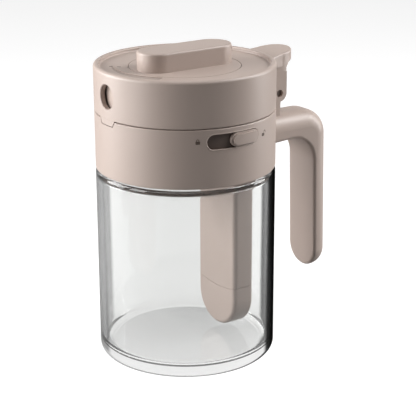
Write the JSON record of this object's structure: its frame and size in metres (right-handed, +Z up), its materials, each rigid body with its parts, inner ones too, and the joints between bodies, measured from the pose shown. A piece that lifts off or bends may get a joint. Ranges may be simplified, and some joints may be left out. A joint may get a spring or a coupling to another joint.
{
  "type": "seasoning jar",
  "caption": "Clear glass seasoning jar with a strap handle, a hinged lid with thumb lever, pour hole and turning dial, a lock slider in the collar and a hanging inner column.",
  "frame": {"origin": "centre of the jar's base, on the axis of the round glass, on the surface it stands on", "axes": "+Z up the jar's axis, +X towards the handle, -X towards the pour hole, -Y towards the lock slider"},
  "size_m": [0.1275, 0.089, 0.1542],
  "materials": {
    "glass": "clear, polished",
    "shell": "fine matt, warm beige",
    "pin": "plain turned"
  },
  "bodies": {
    "jar": {"glass_jar": "glass", "collar": "shell", "mouth_plate": "shell", "inner_column": "shell", "column_cap": "shell", "hinge_pin": "pin"},
    "lid": {"lid": "shell"},
    "dial": {"dial": "shell", "shutter_drum": "shell"},
    "slider": {"lock_slider": "shell"}
  },
  "joints": [
    {"name": "lid_hinge", "type": "hinge", "parent": "jar", "child": "lid", "pos_m": [0.0494, 0, 0.1262], "axis": [0, 1, 0], "range_deg": [0, 64]},
    {"name": "dial_turn", "type": "hinge", "parent": "lid", "child": "dial", "pos_m": [0, 0, 0.145], "axis": [0, 0, 1], "range_deg": [0, 60]},
    {"name": "lock_slide", "type": "hinge", "parent": "jar", "child": "slider", "pos_m": [0, 0, 0.1181], "axis": [0, 0, -1], "range_deg": [0, 15.3]}
  ]
}
